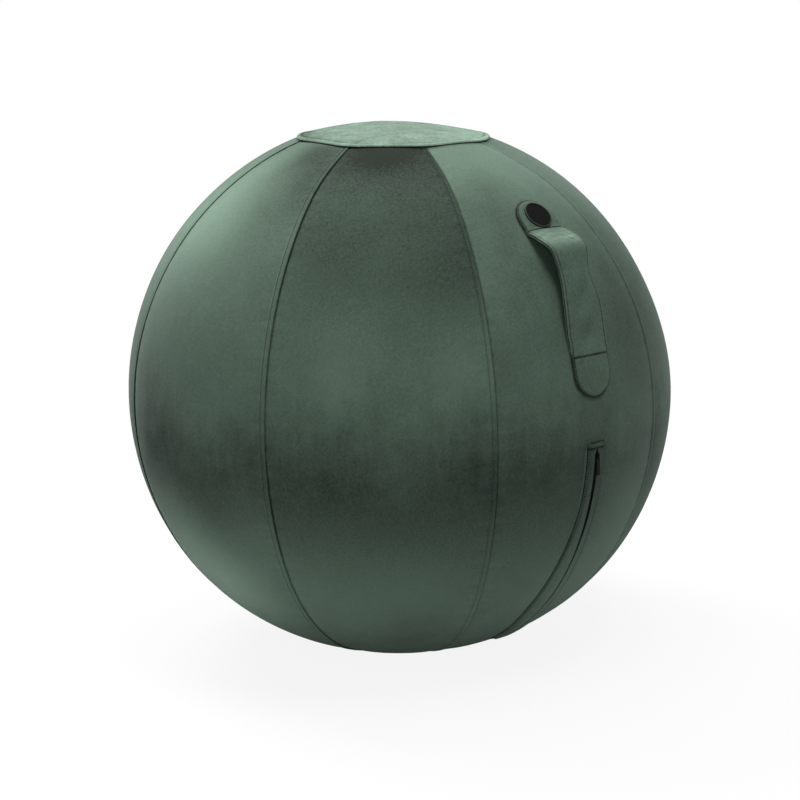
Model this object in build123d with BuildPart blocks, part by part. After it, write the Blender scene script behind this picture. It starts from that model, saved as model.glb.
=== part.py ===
from build123d import *
import math
import os

os.makedirs("parts", exist_ok=True)

# Sizes are in millimetres and degrees. The ball stands on z = 0 with its axis on Z.
# The strap handle and the zip face -Y. Polar angles are measured down from the crown.

# Ball and cover
ball_radius = 325.0  # outer face of the cover
shoulder_tightening = 31.0  # the ball settles towards its foot on a smaller radius by this much
shoulder_start_polar = 122.0  # polar angle where that shoulder begins
crown_flattening = 150.0  # the crown under the top patch has a larger radius by this much
crown_margin = 1.0  # how far the crown runs past the top patch
foot_radius = 65.0  # flat that the ball stands on
cover_thickness = 3.5
cover_gap = 0.3  # between the cover and the inner ball
inner_ball_wall = 1.0
gore_count = 8
gore_tip_radius = 8.0  # the gores' points stop short of the axis, under the patches

# Lapped seams between the gores
lap_width = 6.5
lap_height = 0.9
lap_root = 0.5  # how deep the lap is rooted in its gore
lap_margin = 2.5  # the laps stop this far from the patches

# Patches over the gores' points
top_patch_radius = 114.0
top_patch_thickness = 1.5
hem_width = 4.5
hem_height = 0.5
base_patch_thickness = 2.5
seat_gap = 0.2  # between the cover and what is sewn on it

# Air valve of the inner ball
valve_polar = 116.0
valve_seat_radius = 10.0
valve_seat_depth = 14.0
valve_flange_radius = 17.0
valve_flange_thickness = 1.2
valve_bore_radius = 4.0
plug_head_radius = 7.0
plug_head_thickness = 2.0
plug_length = 11.0
plug_chamfer = 1.0
valve_gap = 0.1

# Zip
zip_top_polar = 93.6  # polar angles of the ends of the zip's window
zip_bottom_polar = 147.0
window_half_width = 13.0
welt_end_length = 6.0  # how far the welts run past the window
slit_half_width = 1.5
welt_width = 15.0
welt_thickness = 1.8
tape_thickness = 0.5
tooth_pitch = 3.0
tooth_length = 1.7
tooth_height = 2.0
tooth_reach = 1.2
tooth_tip = 0.6  # the teeth stop this far from the zip's middle
bead_width = 1.4
bead_height = 1.3
stop_length = 3.0
zip_gap = 0.3

# Slider and pull
slider_clearance = 0.85  # above the inner ball, where the zip lies closest to the ball's true face
slider_length = 10.0
slider_half_width = 4.6
slider_plate = 0.7
slider_flange = 0.6
slider_post_width = 0.8
slider_post_length = 3.0
bail_width = 1.8
bail_leg = 1.4
bail_eye_length = 3.2
bail_eye_height = 2.0
bail_bridge = 0.9
pull_length = 22.0
pull_width = 4.6
pull_thickness = 1.4
pull_eye_width = 2.6
pull_eye_length = 4.5
pull_bar_round = 0.9  # share of the bar's half thickness that is rounded off

# Strap handle
strap_width = 56.0
strap_layer = 2.0
strap_layer_gap = 0.1
handle_top_polar = 42.0  # polar angles of the tabs' ends and stitch lines
upper_stitch_polar = 49.5
lower_stitch_polar = 75.6
handle_bottom_polar = 83.8
grip_corner_polar = 54.5
grip_corner_lift = 24.7
grip_bend_radius = 24.0
grip_touch_polar = 71.5
tab_overlap = 1.7  # how far a tab runs past the point where the strap leaves the ball
grip_start_distance = 8.0  # where the free part of the strap begins and ends, along its swing axis
grip_end_distance = 86.0
grip_gap = 0.4

# Badge on the upper tab
badge_rise = 4.8  # above the middle of the tab's round end
badge_radius = 15.5
badge_thickness = 1.3
badge_rim_width = 1.2
badge_rim_height = 0.4

# Meridian of the ball
gore_angle = 360.0 / gore_count
shoulder_radius = ball_radius - shoulder_tightening
shoulder_out = shoulder_tightening * math.sin(math.radians(shoulder_start_polar))
shoulder_up = shoulder_tightening * math.cos(math.radians(shoulder_start_polar))
foot_depth = math.sqrt(shoulder_radius**2 - (foot_radius - shoulder_out) ** 2) - shoulder_up
centre_height = foot_depth + base_patch_thickness
crown_radius = ball_radius + crown_flattening
crown_edge = top_patch_radius + crown_margin
crown_up = math.sqrt(ball_radius**2 - crown_edge**2) - math.sqrt(crown_radius**2 - crown_edge**2)

ball_centre = (0, 0, centre_height)
meridian = Plane(ball_centre, x_dir=(1, 0, 0), z_dir=(0, -1, 0))
gore_axis = Axis((0, 0, 0), (0, 0, -1))


def polar_point(polar, radius):
    """Point of a meridian, as distance out from the axis and height above the ball's centre."""
    return radius * math.sin(math.radians(polar)), radius * math.cos(math.radians(polar))


def crown_point(out, inset):
    """Point of the crown at a distance from the axis, at a depth below the cover's face."""
    return out, crown_up + math.sqrt((crown_radius - inset) ** 2 - out**2)


def shoulder_point(out, inset):
    """Point of the shoulder at a distance from the axis, at a depth below the cover's face."""
    return out, shoulder_up - math.sqrt((shoulder_radius - inset) ** 2 - (out - shoulder_out) ** 2)


def shoulder_middle(start, end, inset):
    """Point of the shoulder half-way between two of its points."""
    half = math.hypot((start[0] + end[0]) / 2 - shoulder_out, (start[1] + end[1]) / 2 - shoulder_up)
    share = (shoulder_radius - inset) / half
    out = shoulder_out + ((start[0] + end[0]) / 2 - shoulder_out) * share
    return out, shoulder_up + ((start[1] + end[1]) / 2 - shoulder_up) * share


def draw_meridian(inset, tip):
    """Line of the ball from crown to foot at a depth below the cover's face."""
    radius = ball_radius - inset
    edge_up = (radius**2 - (crown_radius - inset) ** 2 + crown_up**2) / (2 * crown_up)
    edge = (math.sqrt(radius**2 - edge_up**2), edge_up)
    crown = crown_point(tip, inset)
    shoulder = polar_point(shoulder_start_polar, radius)
    flat_up = inset - foot_depth
    flat_out = shoulder_out + math.sqrt((shoulder_radius - inset) ** 2 - (flat_up - shoulder_up) ** 2)
    flat = (flat_out, flat_up)
    ThreePointArc(crown, crown_point((tip + edge[0]) / 2, inset), edge)
    ThreePointArc(edge, (radius, 0), shoulder)
    ThreePointArc(shoulder, shoulder_middle(shoulder, flat, inset), flat)
    Line(flat, (tip, flat_up))
    return crown, (tip, flat_up)


def shell_section(outer, inner, tip):
    """Section of a layer of the ball between two depths below the cover's face."""
    with BuildSketch(meridian) as section:
        with BuildLine():
            outer_crown, outer_foot = draw_meridian(outer, tip)
            inner_crown, inner_foot = draw_meridian(inner, tip)
            Line(outer_crown, inner_crown)
            Line(outer_foot, inner_foot)
        make_face()
    return section.sketch


def draw_lap_line(inset):
    """Line of a seam from the top patch to the foot at a depth below the cover's face."""
    radius = ball_radius - inset
    start_out = top_patch_radius + lap_margin
    start = (start_out, math.sqrt(radius**2 - start_out**2))
    shoulder = polar_point(shoulder_start_polar, radius)
    end = shoulder_point(foot_radius + lap_margin, inset)
    ThreePointArc(start, (radius, 0), shoulder)
    ThreePointArc(shoulder, shoulder_middle(shoulder, end, inset), end)
    return start, end


def front_point(polar, lift):
    """Point in front of the ball, on the meridian of the handle and the zip."""
    out, up = polar_point(polar, ball_radius + lift)
    return Vector(0, -out, centre_height + up)


def front_plane(polar, lift):
    """Plane that touches the front meridian: x to the right, y up the ball, z outwards."""
    out, up = polar_point(polar, 1)
    return Plane(front_point(polar, lift), x_dir=(1, 0, 0), z_dir=(0, -out, up))


def front_section(polar, lift):
    """Plane across the front meridian: x to the right, y outwards, z down the ball."""
    out, up = polar_point(polar, 1)
    return Plane(front_point(polar, lift), x_dir=(1, 0, 0), z_dir=(0, -up, -out))


# Gores of the cover: a wedge of the shell with the lap along its right-hand edge
with BuildPart() as gore_form:
    revolve(
        shell_section(0, cover_thickness, gore_tip_radius), axis=gore_axis, revolution_arc=gore_angle
    )
    with BuildSketch(meridian):
        with BuildLine():
            lap_outer_start, lap_outer_end = draw_lap_line(-lap_height)
            lap_inner_start, lap_inner_end = draw_lap_line(lap_root)
            Line(lap_outer_start, lap_inner_start)
            Line(lap_outer_end, lap_inner_end)
        make_face()
    extrude(amount=lap_width)

# Solid ball a little larger than the cover, which trims what is sewn on it
with BuildPart() as seat_form:
    with BuildSketch(meridian):
        with BuildLine():
            seat_crown, seat_foot = draw_meridian(-seat_gap, 0)
            Line(seat_crown, seat_foot)
        make_face()
    revolve(axis=Axis.Z)

# The zip runs on the circle through three points of the ball's face, about an axis along X
zip_points = []
for zip_polar in (zip_top_polar, (zip_top_polar + zip_bottom_polar) / 2, zip_bottom_polar):
    ray = polar_point(zip_polar, 1)
    along = ray[0] * shoulder_out + ray[1] * shoulder_up
    reach = along + math.sqrt(along**2 - shoulder_tightening**2 + shoulder_radius**2)
    zip_points.append(polar_point(zip_polar, ball_radius if zip_polar < shoulder_start_polar else reach))
zip_line = Edge.make_three_point_arc(*zip_points)
zip_radius = zip_line.radius
zip_out = zip_line.arc_center.X
zip_up = zip_line.arc_center.Y
zip_axis = Axis((0, -zip_out, centre_height + zip_up), (1, 0, 0))


def zip_angle(point):
    """Angle of a point of the zip below level, about the zip's axis."""
    return math.degrees(math.atan2(zip_up - point[1], point[0] - zip_out))


def zip_degrees(length):
    """Angle that a length along the zip takes up about the zip's axis."""
    return math.degrees(length / zip_radius)


def zip_plane(angle):
    """Plane across the zip: x to the right, y outwards from the cover's face, z down the zip."""
    down = math.sin(math.radians(angle))
    level = math.cos(math.radians(angle))
    origin = Vector(0, -zip_out - zip_radius * level, centre_height + zip_up - zip_radius * down)
    return Plane(origin, x_dir=(1, 0, 0), z_dir=(0, down, -level))


def draw_zip_bar(left, right, low, high, start, length, mode=Mode.ADD):
    """Bar along the zip: its edges to either side, its faces above the cover's face, its run in degrees."""
    with BuildSketch(zip_plane(start)) as section:
        with Locations(((left + right) / 2, (low + high) / 2)):
            Rectangle(right - left, high - low)
    revolve(section.sketch, axis=zip_axis, revolution_arc=length, mode=mode)


window_start = zip_angle(zip_points[0])
window_run = zip_angle(zip_points[2]) - window_start
rows_start = window_start + zip_degrees(zip_gap)
rows_run = window_run - zip_degrees(2 * zip_gap)

# Heights of the zip's layers above the cover's face, from the inner ball outwards
inner_ball_depth = cover_thickness + cover_gap
plate_bottom = slider_clearance + slider_plate - inner_ball_depth
teeth_bottom = plate_bottom + zip_gap
teeth_top = teeth_bottom + tooth_height
teeth_middle = (teeth_bottom + teeth_top) / 2
tape_low = teeth_middle - tape_thickness / 2
tape_high = teeth_middle + tape_thickness / 2
plate_top = teeth_top + zip_gap
bail_foot = plate_top + slider_plate
welt_low = bail_foot + zip_gap
welt_face = welt_low + welt_thickness

# The front gore, which is the first, has the zip's window
for number in range(gore_count):
    with BuildPart() as gore:
        add(gore_form.part.rotate(Axis.Z, gore_angle * (number + 0.5) - 90))
        if number == 0:
            window_depth = 2 * inner_ball_depth
            draw_zip_bar(
                -window_half_width,
                window_half_width,
                -window_depth,
                window_depth,
                window_start,
                window_run,
                Mode.SUBTRACT,
            )
    gore.part.label = f"gore_{number + 1}"
    export_step(gore.part, f"parts/gore_{number + 1}.step")

# Inner ball, closed but for the valve's hole
valve_face = front_plane(valve_polar, -inner_ball_depth - cover_gap)
with BuildPart() as inner_ball:
    revolve(shell_section(inner_ball_depth, inner_ball_depth + inner_ball_wall, 0), axis=Axis.Z)
    with BuildSketch(valve_face):
        Circle(valve_seat_radius + valve_gap)
    extrude(amount=valve_seat_depth, both=True, mode=Mode.SUBTRACT)
inner_ball.part.label = "inner_ball"
export_step(inner_ball.part, "parts/inner_ball.step")

# Valve seat: a boss through the wall with a flange inside it, counterbored for the plug
flange_depth = inner_ball_wall + cover_gap + valve_flange_radius**2 / (2 * (ball_radius - inner_ball_depth))
with BuildPart() as valve_seat:
    with BuildSketch(valve_face):
        Circle(valve_seat_radius)
    extrude(amount=-valve_seat_depth)
    with BuildSketch(valve_face.offset(-flange_depth)):
        Circle(valve_flange_radius)
    extrude(amount=-valve_flange_thickness)
    with BuildSketch(valve_face):
        Circle(valve_bore_radius)
    extrude(amount=-valve_seat_depth, mode=Mode.SUBTRACT)
    with BuildSketch(valve_face):
        Circle(plug_head_radius + valve_gap)
    extrude(amount=-plug_head_thickness, mode=Mode.SUBTRACT)
valve_seat.part.label = "valve_seat"
export_step(valve_seat.part, "parts/valve_seat.step")

with BuildPart() as valve_plug:
    with BuildSketch(valve_face):
        Circle(plug_head_radius)
    extrude(amount=-plug_head_thickness)
    with BuildSketch(valve_face):
        Circle(valve_bore_radius - valve_gap)
    extrude(amount=-plug_length)
    plug_tip = valve_plug.edges().group_by(Axis((0, 0, 0), valve_face.z_dir))[0]
    chamfer(plug_tip, length=plug_chamfer)
valve_plug.part.label = "valve_plug"
export_step(valve_plug.part, "parts/valve_plug.step")

# Top patch: a cap with a hem round its edge
patch_face = -seat_gap - top_patch_thickness
hem_face = patch_face - hem_height
hem_inside = top_patch_radius - hem_width
with BuildPart() as top_patch:
    with BuildSketch(meridian):
        with BuildLine():
            under = ThreePointArc(
                crown_point(0, -seat_gap),
                crown_point(top_patch_radius / 2, -seat_gap),
                crown_point(top_patch_radius, -seat_gap),
            )
            edge = Line(under @ 1, crown_point(top_patch_radius, hem_face))
            hem = ThreePointArc(
                edge @ 1,
                crown_point(top_patch_radius - hem_width / 2, hem_face),
                crown_point(hem_inside, hem_face),
            )
            step = Line(hem @ 1, crown_point(hem_inside, patch_face))
            face = ThreePointArc(
                step @ 1, crown_point(hem_inside / 2, patch_face), crown_point(0, patch_face)
            )
            Line(face @ 1, under @ 0)
        make_face()
    revolve(axis=Axis.Z)
    rim_edges = top_patch.edges().filter_by(GeomType.CIRCLE).group_by(SortBy.LENGTH)[-1]
    fillet(rim_edges.sort_by(Axis.Z)[-1], radius=hem_height)
top_patch.part.label = "top_patch"
export_step(top_patch.part, "parts/top_patch.step")

# Base patch: the flat disc that the ball stands on
with BuildPart() as base_patch:
    with BuildSketch():
        Circle(foot_radius)
    extrude(amount=base_patch_thickness)
    fillet(base_patch.edges().group_by(Axis.Z)[0], radius=base_patch_thickness / 3)
base_patch.part.label = "base_patch"
export_step(base_patch.part, "parts/base_patch.step")

# Welts: lips over the zip, with a margin that comes down on the cover round the window
welt_lap = zip_degrees(welt_end_length)
welt_end_run = zip_degrees(welt_end_length - zip_gap)
welt_start = window_start - welt_lap
welt_run = window_run + 2 * welt_lap
welt_edge = slit_half_width + welt_width
margin_low = -welt_thickness
with BuildPart() as zip_welt_right:
    draw_zip_bar(slit_half_width, welt_edge, welt_low, welt_face, welt_start, welt_run)
    draw_zip_bar(window_half_width + zip_gap, welt_edge, margin_low, welt_face, welt_start, welt_run)
    for end_start in (welt_start, welt_start + welt_run - welt_end_run):
        draw_zip_bar(slit_half_width, welt_edge, margin_low, welt_face, end_start, welt_end_run)
    add(seat_form.part, mode=Mode.SUBTRACT)
zip_welt_right.part.label = "zip_welt_right"
export_step(zip_welt_right.part, "parts/zip_welt_right.step")

with BuildPart() as zip_welt_left:
    mirror(zip_welt_right.part, about=Plane.YZ)
zip_welt_left.part.label = "zip_welt_left"
export_step(zip_welt_left.part, "parts/zip_welt_left.step")

# Tapes with their rows of teeth: the left row is half a pitch behind the right one
bead_inside = tooth_tip + tooth_reach
bead_outside = bead_inside + bead_width
teeth_run = rows_run - zip_degrees(2 * stop_length + 2 * zip_gap)
teeth_start = rows_start + zip_degrees(stop_length + zip_gap)
tooth_count = int((zip_radius * math.radians(teeth_run) - tooth_length) / tooth_pitch)
for side, sign, lag in (("right", 1, 0), ("left", -1, 0.5)):
    with BuildPart() as zip_tape:
        tape_edges = sorted((sign * (bead_outside + seat_gap), sign * (window_half_width - zip_gap)))
        draw_zip_bar(*tape_edges, tape_low, tape_high, rows_start, rows_run)
    zip_tape.part.label = f"zip_tape_{side}"
    export_step(zip_tape.part, f"parts/zip_tape_{side}.step")

    with BuildPart() as zip_teeth:
        bead_edges = sorted((sign * bead_inside, sign * bead_outside))
        bead_low = teeth_middle - bead_height / 2
        draw_zip_bar(*bead_edges, bead_low, bead_low + bead_height, rows_start, rows_run)
        teeth_side = Plane((sign * tooth_tip, -zip_out, centre_height + zip_up), (0, -1, 0), (-1, 0, 0))
        first_tooth = teeth_start + zip_degrees(tooth_length / 2 + lag * tooth_pitch)
        last_tooth = first_tooth + zip_degrees((tooth_count - 1) * tooth_pitch)
        with BuildSketch(teeth_side):
            with PolarLocations(
                zip_radius + teeth_middle, tooth_count, -last_tooth, last_tooth - first_tooth, endpoint=True
            ):
                Rectangle(tooth_height, tooth_length)
        extrude(amount=-sign * (tooth_reach + bead_width / 2))
    zip_teeth.part.label = f"zip_teeth_{side}"
    export_step(zip_teeth.part, f"parts/zip_teeth_{side}.step")

# Stops at both ends of the rows, between the beads
stop_half_width = bead_inside - seat_gap
stop_ends = {"top": rows_start, "bottom": rows_start + rows_run - zip_degrees(stop_length)}
for end, stop_start in stop_ends.items():
    with BuildPart() as zip_stop:
        draw_zip_bar(
            -stop_half_width, stop_half_width, teeth_bottom, teeth_top, stop_start, zip_degrees(stop_length)
        )
    zip_stop.part.label = f"zip_{end}_stop"
    export_step(zip_stop.part, f"parts/zip_{end}_stop.step")

# Slider: two flanged plates round the rows, held together by a thin post, with a bail through the slit
slider_start = teeth_start
slider_run = zip_degrees(slider_length)
slider_middle = slider_start + slider_run / 2
slider_travel = teeth_run - slider_run
slider_low = plate_bottom - slider_plate
flange_inside = slider_half_width - slider_flange
bail_length = bail_eye_length + 2 * bail_leg
bail_eye_low = welt_face + zip_gap
bail_top = bail_eye_low + bail_eye_height + bail_bridge
bail_level = zip_plane(slider_middle)
bail_side = Plane(bail_level.origin, x_dir=bail_level.z_dir, z_dir=(-1, 0, 0))
with BuildPart() as zip_slider:
    draw_zip_bar(-slider_half_width, slider_half_width, plate_top, bail_foot, slider_start, slider_run)
    draw_zip_bar(-slider_half_width, slider_half_width, slider_low, plate_bottom, slider_start, slider_run)
    for flange_sign in (-1, 1):
        flange_edges = sorted((flange_sign * flange_inside, flange_sign * slider_half_width))
        draw_zip_bar(*flange_edges, tape_high + zip_gap, bail_foot, slider_start, slider_run)
        draw_zip_bar(*flange_edges, slider_low, tape_low - zip_gap, slider_start, slider_run)
    post_half_width = slider_post_width / 2
    post_run = zip_degrees(slider_post_length)
    draw_zip_bar(-post_half_width, post_half_width, slider_low, bail_foot, slider_start, post_run)
    with BuildSketch(bail_side):
        with Locations((0, (plate_top + bail_top) / 2)):
            bail_outline = Rectangle(bail_length, bail_top - plate_top)
        fillet(bail_outline.vertices().group_by(Axis.Y)[-1], radius=bail_leg)
        with Locations((0, bail_eye_low + bail_eye_height / 2)):
            Rectangle(bail_eye_length, bail_eye_height, mode=Mode.SUBTRACT)
    extrude(amount=bail_width / 2, both=True)
zip_slider.part.label = "zip_slider"
export_step(zip_slider.part, "parts/zip_slider.step")

# Pull: hangs straight down from its bar, which lies in the lower end of the bail's eye
pull_bar_radius = pull_thickness / 2
pull_bar = bail_side.from_local_coords(
    Vector(bail_eye_length / 2 - pull_bar_radius - seat_gap, bail_eye_low + bail_eye_height / 2, 0)
)
pull_plane = Plane(pull_bar, x_dir=(1, 0, 0), z_dir=(0, -1, 0))
with BuildPart() as zip_pull:
    with BuildSketch(pull_plane):
        with Locations((0, pull_bar_radius - pull_length / 2)):
            pull_outline = Rectangle(pull_width, pull_length)
        fillet(pull_outline.vertices().group_by(Axis.Y)[0], radius=pull_width / 3)
        with Locations((0, -pull_bar_radius - pull_eye_length / 2)):
            Rectangle(pull_eye_width, pull_eye_length, mode=Mode.SUBTRACT)
    extrude(amount=pull_thickness / 2, both=True)
    cross_edges = zip_pull.edges().filter_by(Axis.X).group_by(Axis.Z)
    fillet(cross_edges[-1] + cross_edges[-2], radius=pull_bar_round * pull_bar_radius)
zip_pull.part.label = "zip_pull"
export_step(zip_pull.part, "parts/zip_pull.step")

# The strap is drawn along its swing axis, which is parallel to the line between its two stitch lines
strap_foot = front_point(upper_stitch_polar, seat_gap)
strap_end = front_point(lower_stitch_polar, seat_gap)
strap_plane = Plane(strap_foot, x_dir=strap_end - strap_foot, z_dir=(-1, 0, 0))
strap_corner = strap_plane.to_local_coords(front_point(grip_corner_polar, grip_corner_lift))
strap_touch = strap_plane.to_local_coords(front_point(grip_touch_polar, seat_gap))
strap_thickness = 2 * strap_layer + strap_layer_gap
strap_reach = (strap_end - strap_foot).length


def draw_strap_layer(outer, mode):
    """Section of the strap from its inner face to a height above that face."""
    with BuildLine() as outline:
        strap_line = FilletPolyline((0, 0), strap_corner, strap_touch, radius=grip_bend_radius)
        offset(strap_line, amount=outer, side=Side.LEFT)
    make_face(outline.edges(), mode=mode)


def draw_strap(inner, outer, start, end):
    """Strap between two heights above its inner face and two places along its swing axis."""
    with BuildSketch(strap_plane) as section:
        draw_strap_layer(outer, Mode.ADD)
        if inner > 0:
            draw_strap_layer(inner, Mode.SUBTRACT)
        with Locations(((start + end) / 2, 0)):
            Rectangle(end - start, 2 * strap_reach, mode=Mode.INTERSECT)
    extrude(section.sketch, amount=strap_width / 2, both=True)


def draw_tab(end_plane, length):
    """Tab that follows the ball: a round end, and a straight stretch of a length towards the grip."""
    with BuildSketch(end_plane) as section:
        Circle(strap_width / 2)
        with Locations((0, length / 2)):
            Rectangle(strap_width, abs(length))
    extrude(section.sketch, amount=strap_width / 2, both=True)
    with Locations(ball_centre):
        Sphere(ball_radius + seat_gap + strap_thickness, mode=Mode.INTERSECT)
        Sphere(ball_radius + seat_gap, mode=Mode.SUBTRACT)


tab_end_angle = math.degrees(strap_width / 2 / ball_radius)
upper_tab_centre = handle_top_polar + tab_end_angle
lower_tab_centre = handle_bottom_polar - tab_end_angle
upper_tab_length = ball_radius * math.radians(upper_stitch_polar - upper_tab_centre) + tab_overlap
lower_tab_length = ball_radius * math.radians(lower_tab_centre - grip_touch_polar) + tab_overlap

with BuildPart() as handle_upper_tab:
    draw_tab(front_plane(upper_tab_centre, 0), -upper_tab_length)
    draw_strap(0, strap_thickness, -strap_reach, grip_start_distance)
handle_upper_tab.part.label = "handle_upper_tab"
export_step(handle_upper_tab.part, "parts/handle_upper_tab.step")

with BuildPart() as handle_lower_tab:
    draw_tab(front_plane(lower_tab_centre, 0), lower_tab_length)
    draw_strap(0, strap_thickness, grip_end_distance, 2 * strap_reach)
handle_lower_tab.part.label = "handle_lower_tab"
export_step(handle_lower_tab.part, "parts/handle_lower_tab.step")

grip_from = grip_start_distance + grip_gap
grip_to = grip_end_distance - grip_gap

with BuildPart() as handle_grip_lining:
    draw_strap(0, strap_layer, grip_from, grip_to)
handle_grip_lining.part.label = "handle_grip_lining"
export_step(handle_grip_lining.part, "parts/handle_grip_lining.step")

with BuildPart() as handle_grip:
    draw_strap(strap_layer + strap_layer_gap, strap_thickness, grip_from, grip_to)
handle_grip.part.label = "handle_grip"
export_step(handle_grip.part, "parts/handle_grip.step")

# Badge: a shallow disc with a raised rim, seated on the upper tab
badge_seat = 2 * seat_gap + strap_thickness
badge_seat_radius = ball_radius + badge_seat
badge_polar = upper_tab_centre - math.degrees(badge_rise / ball_radius)


def badge_point(out, height):
    """Point of the badge's section at a height above its seat."""
    return out, height + math.sqrt(badge_seat_radius**2 - out**2) - badge_seat_radius


badge_face_radius = badge_radius - badge_rim_width
badge_rim_face = badge_thickness + badge_rim_height
badge_normal = front_plane(badge_polar, badge_seat)
with BuildPart() as badge:
    with BuildSketch(front_section(badge_polar, badge_seat)):
        with BuildLine():
            badge_under = ThreePointArc(
                badge_point(0, 0), badge_point(badge_radius / 2, 0), badge_point(badge_radius, 0)
            )
            badge_rim = Polyline(
                badge_under @ 1,
                badge_point(badge_radius, badge_rim_face),
                badge_point(badge_face_radius, badge_rim_face),
                badge_point(badge_face_radius, badge_thickness),
            )
            badge_face = ThreePointArc(
                badge_rim @ 1,
                badge_point(badge_face_radius / 2, badge_thickness),
                badge_point(0, badge_thickness),
            )
            Line(badge_face @ 1, badge_under @ 0)
        make_face()
    revolve(axis=Axis(badge_normal.origin, badge_normal.z_dir))
badge.part.label = "badge"
export_step(badge.part, "parts/badge.step")

# Places that the joints take
print("zip axis through", zip_axis.position, "travel", round(slider_travel, 3), "degrees")
print("pull bar at", pull_bar)
print("strap drawn from", strap_foot, "along", strap_plane.x_dir, "outwards", strap_plane.y_dir)
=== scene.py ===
import math

import bpy
import numpy as np
from mathutils import Matrix, Vector


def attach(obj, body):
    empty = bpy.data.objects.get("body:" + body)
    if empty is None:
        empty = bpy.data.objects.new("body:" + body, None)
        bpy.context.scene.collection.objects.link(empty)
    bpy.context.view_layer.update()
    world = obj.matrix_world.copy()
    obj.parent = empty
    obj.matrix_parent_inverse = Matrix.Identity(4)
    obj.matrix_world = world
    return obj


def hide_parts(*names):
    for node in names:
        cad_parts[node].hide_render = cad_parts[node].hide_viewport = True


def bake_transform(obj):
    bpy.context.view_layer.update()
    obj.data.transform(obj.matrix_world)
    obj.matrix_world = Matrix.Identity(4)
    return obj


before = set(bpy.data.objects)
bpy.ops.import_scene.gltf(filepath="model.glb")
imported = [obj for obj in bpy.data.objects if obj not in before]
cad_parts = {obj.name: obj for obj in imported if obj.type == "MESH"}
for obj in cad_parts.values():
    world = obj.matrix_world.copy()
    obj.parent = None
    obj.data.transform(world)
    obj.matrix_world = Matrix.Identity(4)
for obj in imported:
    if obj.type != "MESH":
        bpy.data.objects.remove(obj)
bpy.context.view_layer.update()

# The ball's own sizes, in metres and degrees, as the solids have them
BALL = 0.325
CENTRE = 0.310367
TIGHTER = 0.031
SHOULDER_START = 122.0
CROWN = 0.475
PATCH = 0.114
CROWN_EDGE = 0.115
FOOT = 0.065
GORES = 8
ZIP_GORE = 1
ZIP_TOP = 93.6
ZIP_BOTTOM = 147.0

SHOULDER = BALL - TIGHTER
SHOULDER_OUT = TIGHTER * math.sin(math.radians(SHOULDER_START))
SHOULDER_UP = TIGHTER * math.cos(math.radians(SHOULDER_START))
CROWN_UP = math.sqrt(BALL**2 - CROWN_EDGE**2) - math.sqrt(CROWN**2 - CROWN_EDGE**2)
CROWN_END = math.degrees(math.asin(CROWN_EDGE / BALL))
FOOT_DEPTH = math.sqrt(SHOULDER**2 - (FOOT - SHOULDER_OUT) ** 2) - SHOULDER_UP
FOOT_START = 180 - math.degrees(math.atan(FOOT / FOOT_DEPTH))
MM = 0.001

# Cloth thicknesses and stitches, in metres
COVER_CLOTH = 0.0012
LIP_CLOTH = 0.0007
TAPE_CLOTH = 0.0005
GUARD_CLOTH = 0.0004
STITCH_PITCH = 0.0034
STITCH_LENGTH = 0.0027
STRAP_STITCH_LENGTH = 0.0026
STITCH_LIFT = 0.00035
PATCH_STITCH_LIFT = 0.0003

# Where the cover is drawn flatter, and by how many millimetres
SLACK_TURN = 48.8
CROWN_LEAN = 5.0
PANEL_SLACK = 5.2


# Shader building

class Value:
    """A number in a material's nodes; sums on it add Math nodes."""

    def __init__(self, finish, socket):
        self.finish = finish
        self.socket = socket

    def maths(self, operation, a, b):
        return self.finish.node("ShaderNodeMath", {"operation": operation}, {0: a, 1: b})

    def __add__(self, other):
        return self.maths("ADD", self, other)

    __radd__ = __add__

    def __mul__(self, other):
        return self.maths("MULTIPLY", self, other)

    __rmul__ = __mul__

    def __sub__(self, other):
        return self.maths("SUBTRACT", self, other)

    def __rsub__(self, other):
        return self.maths("SUBTRACT", other, self)

    def atleast(self, other):
        return self.maths("MAXIMUM", self, other)

    def atmost(self, other):
        return self.maths("MINIMUM", self, other)


class Finish:
    """A material or a world under construction, with one way to add a node."""

    def __init__(self, name, kind=bpy.data.materials):
        self.block = kind.new(name)
        self.block.use_nodes = True
        self.tree = self.block.node_tree
        self.tree.nodes.clear()

    def node(self, kind, settings=None, sockets=None, out=0):
        made = self.tree.nodes.new(kind)
        for key, value in (settings or {}).items():
            if key == "stops":
                ramp = made.color_ramp
                ramp.interpolation = "CARDINAL"
                while len(ramp.elements) < len(value):
                    ramp.elements.new(1.0)
                for element, (place, grey) in zip(ramp.elements, value):
                    element.position = place
                    element.color = (grey, grey, grey, 1.0)
            else:
                setattr(made, key, value)
        for key, value in (sockets or {}).items():
            if isinstance(value, Value):
                self.tree.links.new(value.socket, made.inputs[key])
            else:
                made.inputs[key].default_value = value
        return Value(self, made.outputs[out]) if made.outputs else None

    def place(self):
        return self.node("ShaderNodeTexCoord", out="Object")

    def spot(self, name):
        return self.node("ShaderNodeAttribute", {"attribute_name": name}, out="Fac")

    def noise(self, at, scale, detail=2.0, roughness=0.5, stretch=None):
        if stretch:
            at = self.node("ShaderNodeMapping", {}, {"Vector": at, "Scale": stretch})
        sockets = {"Vector": at, "Scale": scale, "Detail": detail, "Roughness": roughness}
        return self.node("ShaderNodeTexNoise", {}, sockets)

    def mix(self, share, a, b):
        settings = {"data_type": "RGBA", "clamp_factor": False}
        return self.node("ShaderNodeMix", settings, {0: share, 6: a, 7: b}, out=2)

    def bump(self, height, strength, distance):
        sockets = {"Height": height, "Strength": strength, "Distance": distance}
        return self.node("ShaderNodeBump", {}, sockets, out="Normal")

    def finish(self, **sockets):
        named = {key.replace("_", " "): value for key, value in sockets.items()}
        shader = self.node("ShaderNodeBsdfPrincipled", {}, named)
        self.node("ShaderNodeOutputMaterial", {}, {"Surface": shader})
        return self.block


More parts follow.
